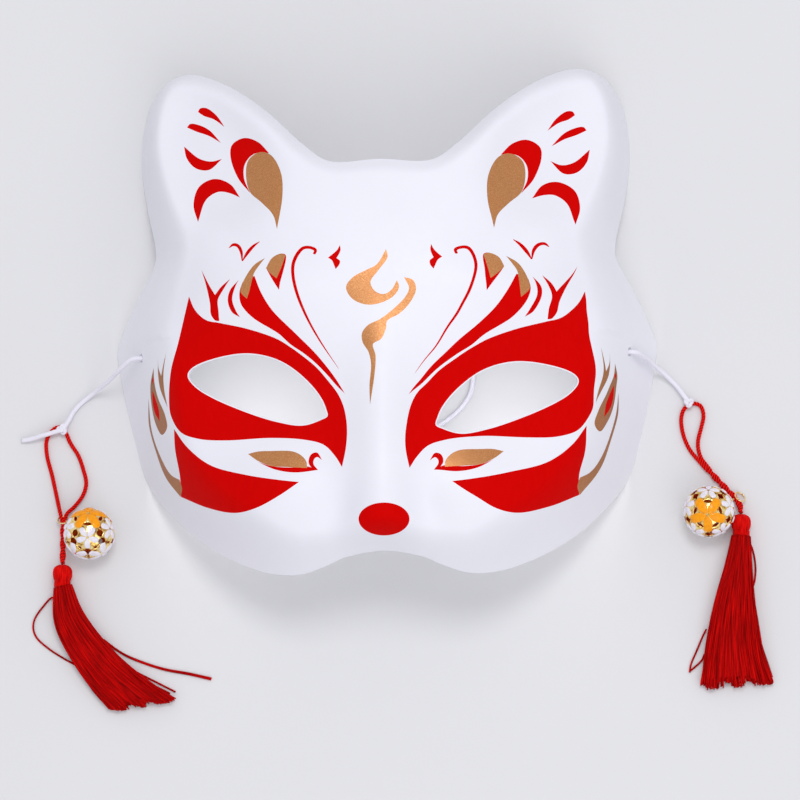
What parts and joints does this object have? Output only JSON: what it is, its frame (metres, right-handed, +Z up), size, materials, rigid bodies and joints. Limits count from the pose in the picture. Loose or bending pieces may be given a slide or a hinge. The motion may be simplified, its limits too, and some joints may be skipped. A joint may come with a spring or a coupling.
{
  "type": "kitsune mask",
  "caption": "Half-face fox mask of thin moulded sheet with upright ears and almond eye holes, worn on an elastic with a bell and tassel at each side.",
  "frame": {"origin": "middle of the mask's outline, on the surface that it lies on", "axes": "+X across the face to the right in the front view, +Y towards the ears, +Z up out of the face"},
  "size_m": [0.2449, 0.2149, 0.067],
  "materials": {
    "mask_sheet": "white moulded plastic sheet with a satin surface, painted red and gold on the front",
    "elastic": "white round elastic with a fine braided cover",
    "red_cord": "red twisted rayon cord",
    "ring_wire": "bright gold-plated wire",
    "bell_brass": "polished gold plating with white and orange enamel petals",
    "tassel_thread": "silky red rayon thread"
  },
  "bodies": {
    "root": {"mask_shell": "mask_sheet", "elastic_cord": "elastic", "loop_cord_left": "red_cord", "loop_cord_right": "red_cord", "split_ring_left": "ring_wire", "split_ring_right": "ring_wire", "bell_left": "bell_brass", "bell_right": "bell_brass", "tassel_head_left": "tassel_thread", "tassel_head_right": "tassel_thread", "tassel_skirt_left": "tassel_thread", "tassel_skirt_right": "tassel_thread"}
  },
  "joints": []
}
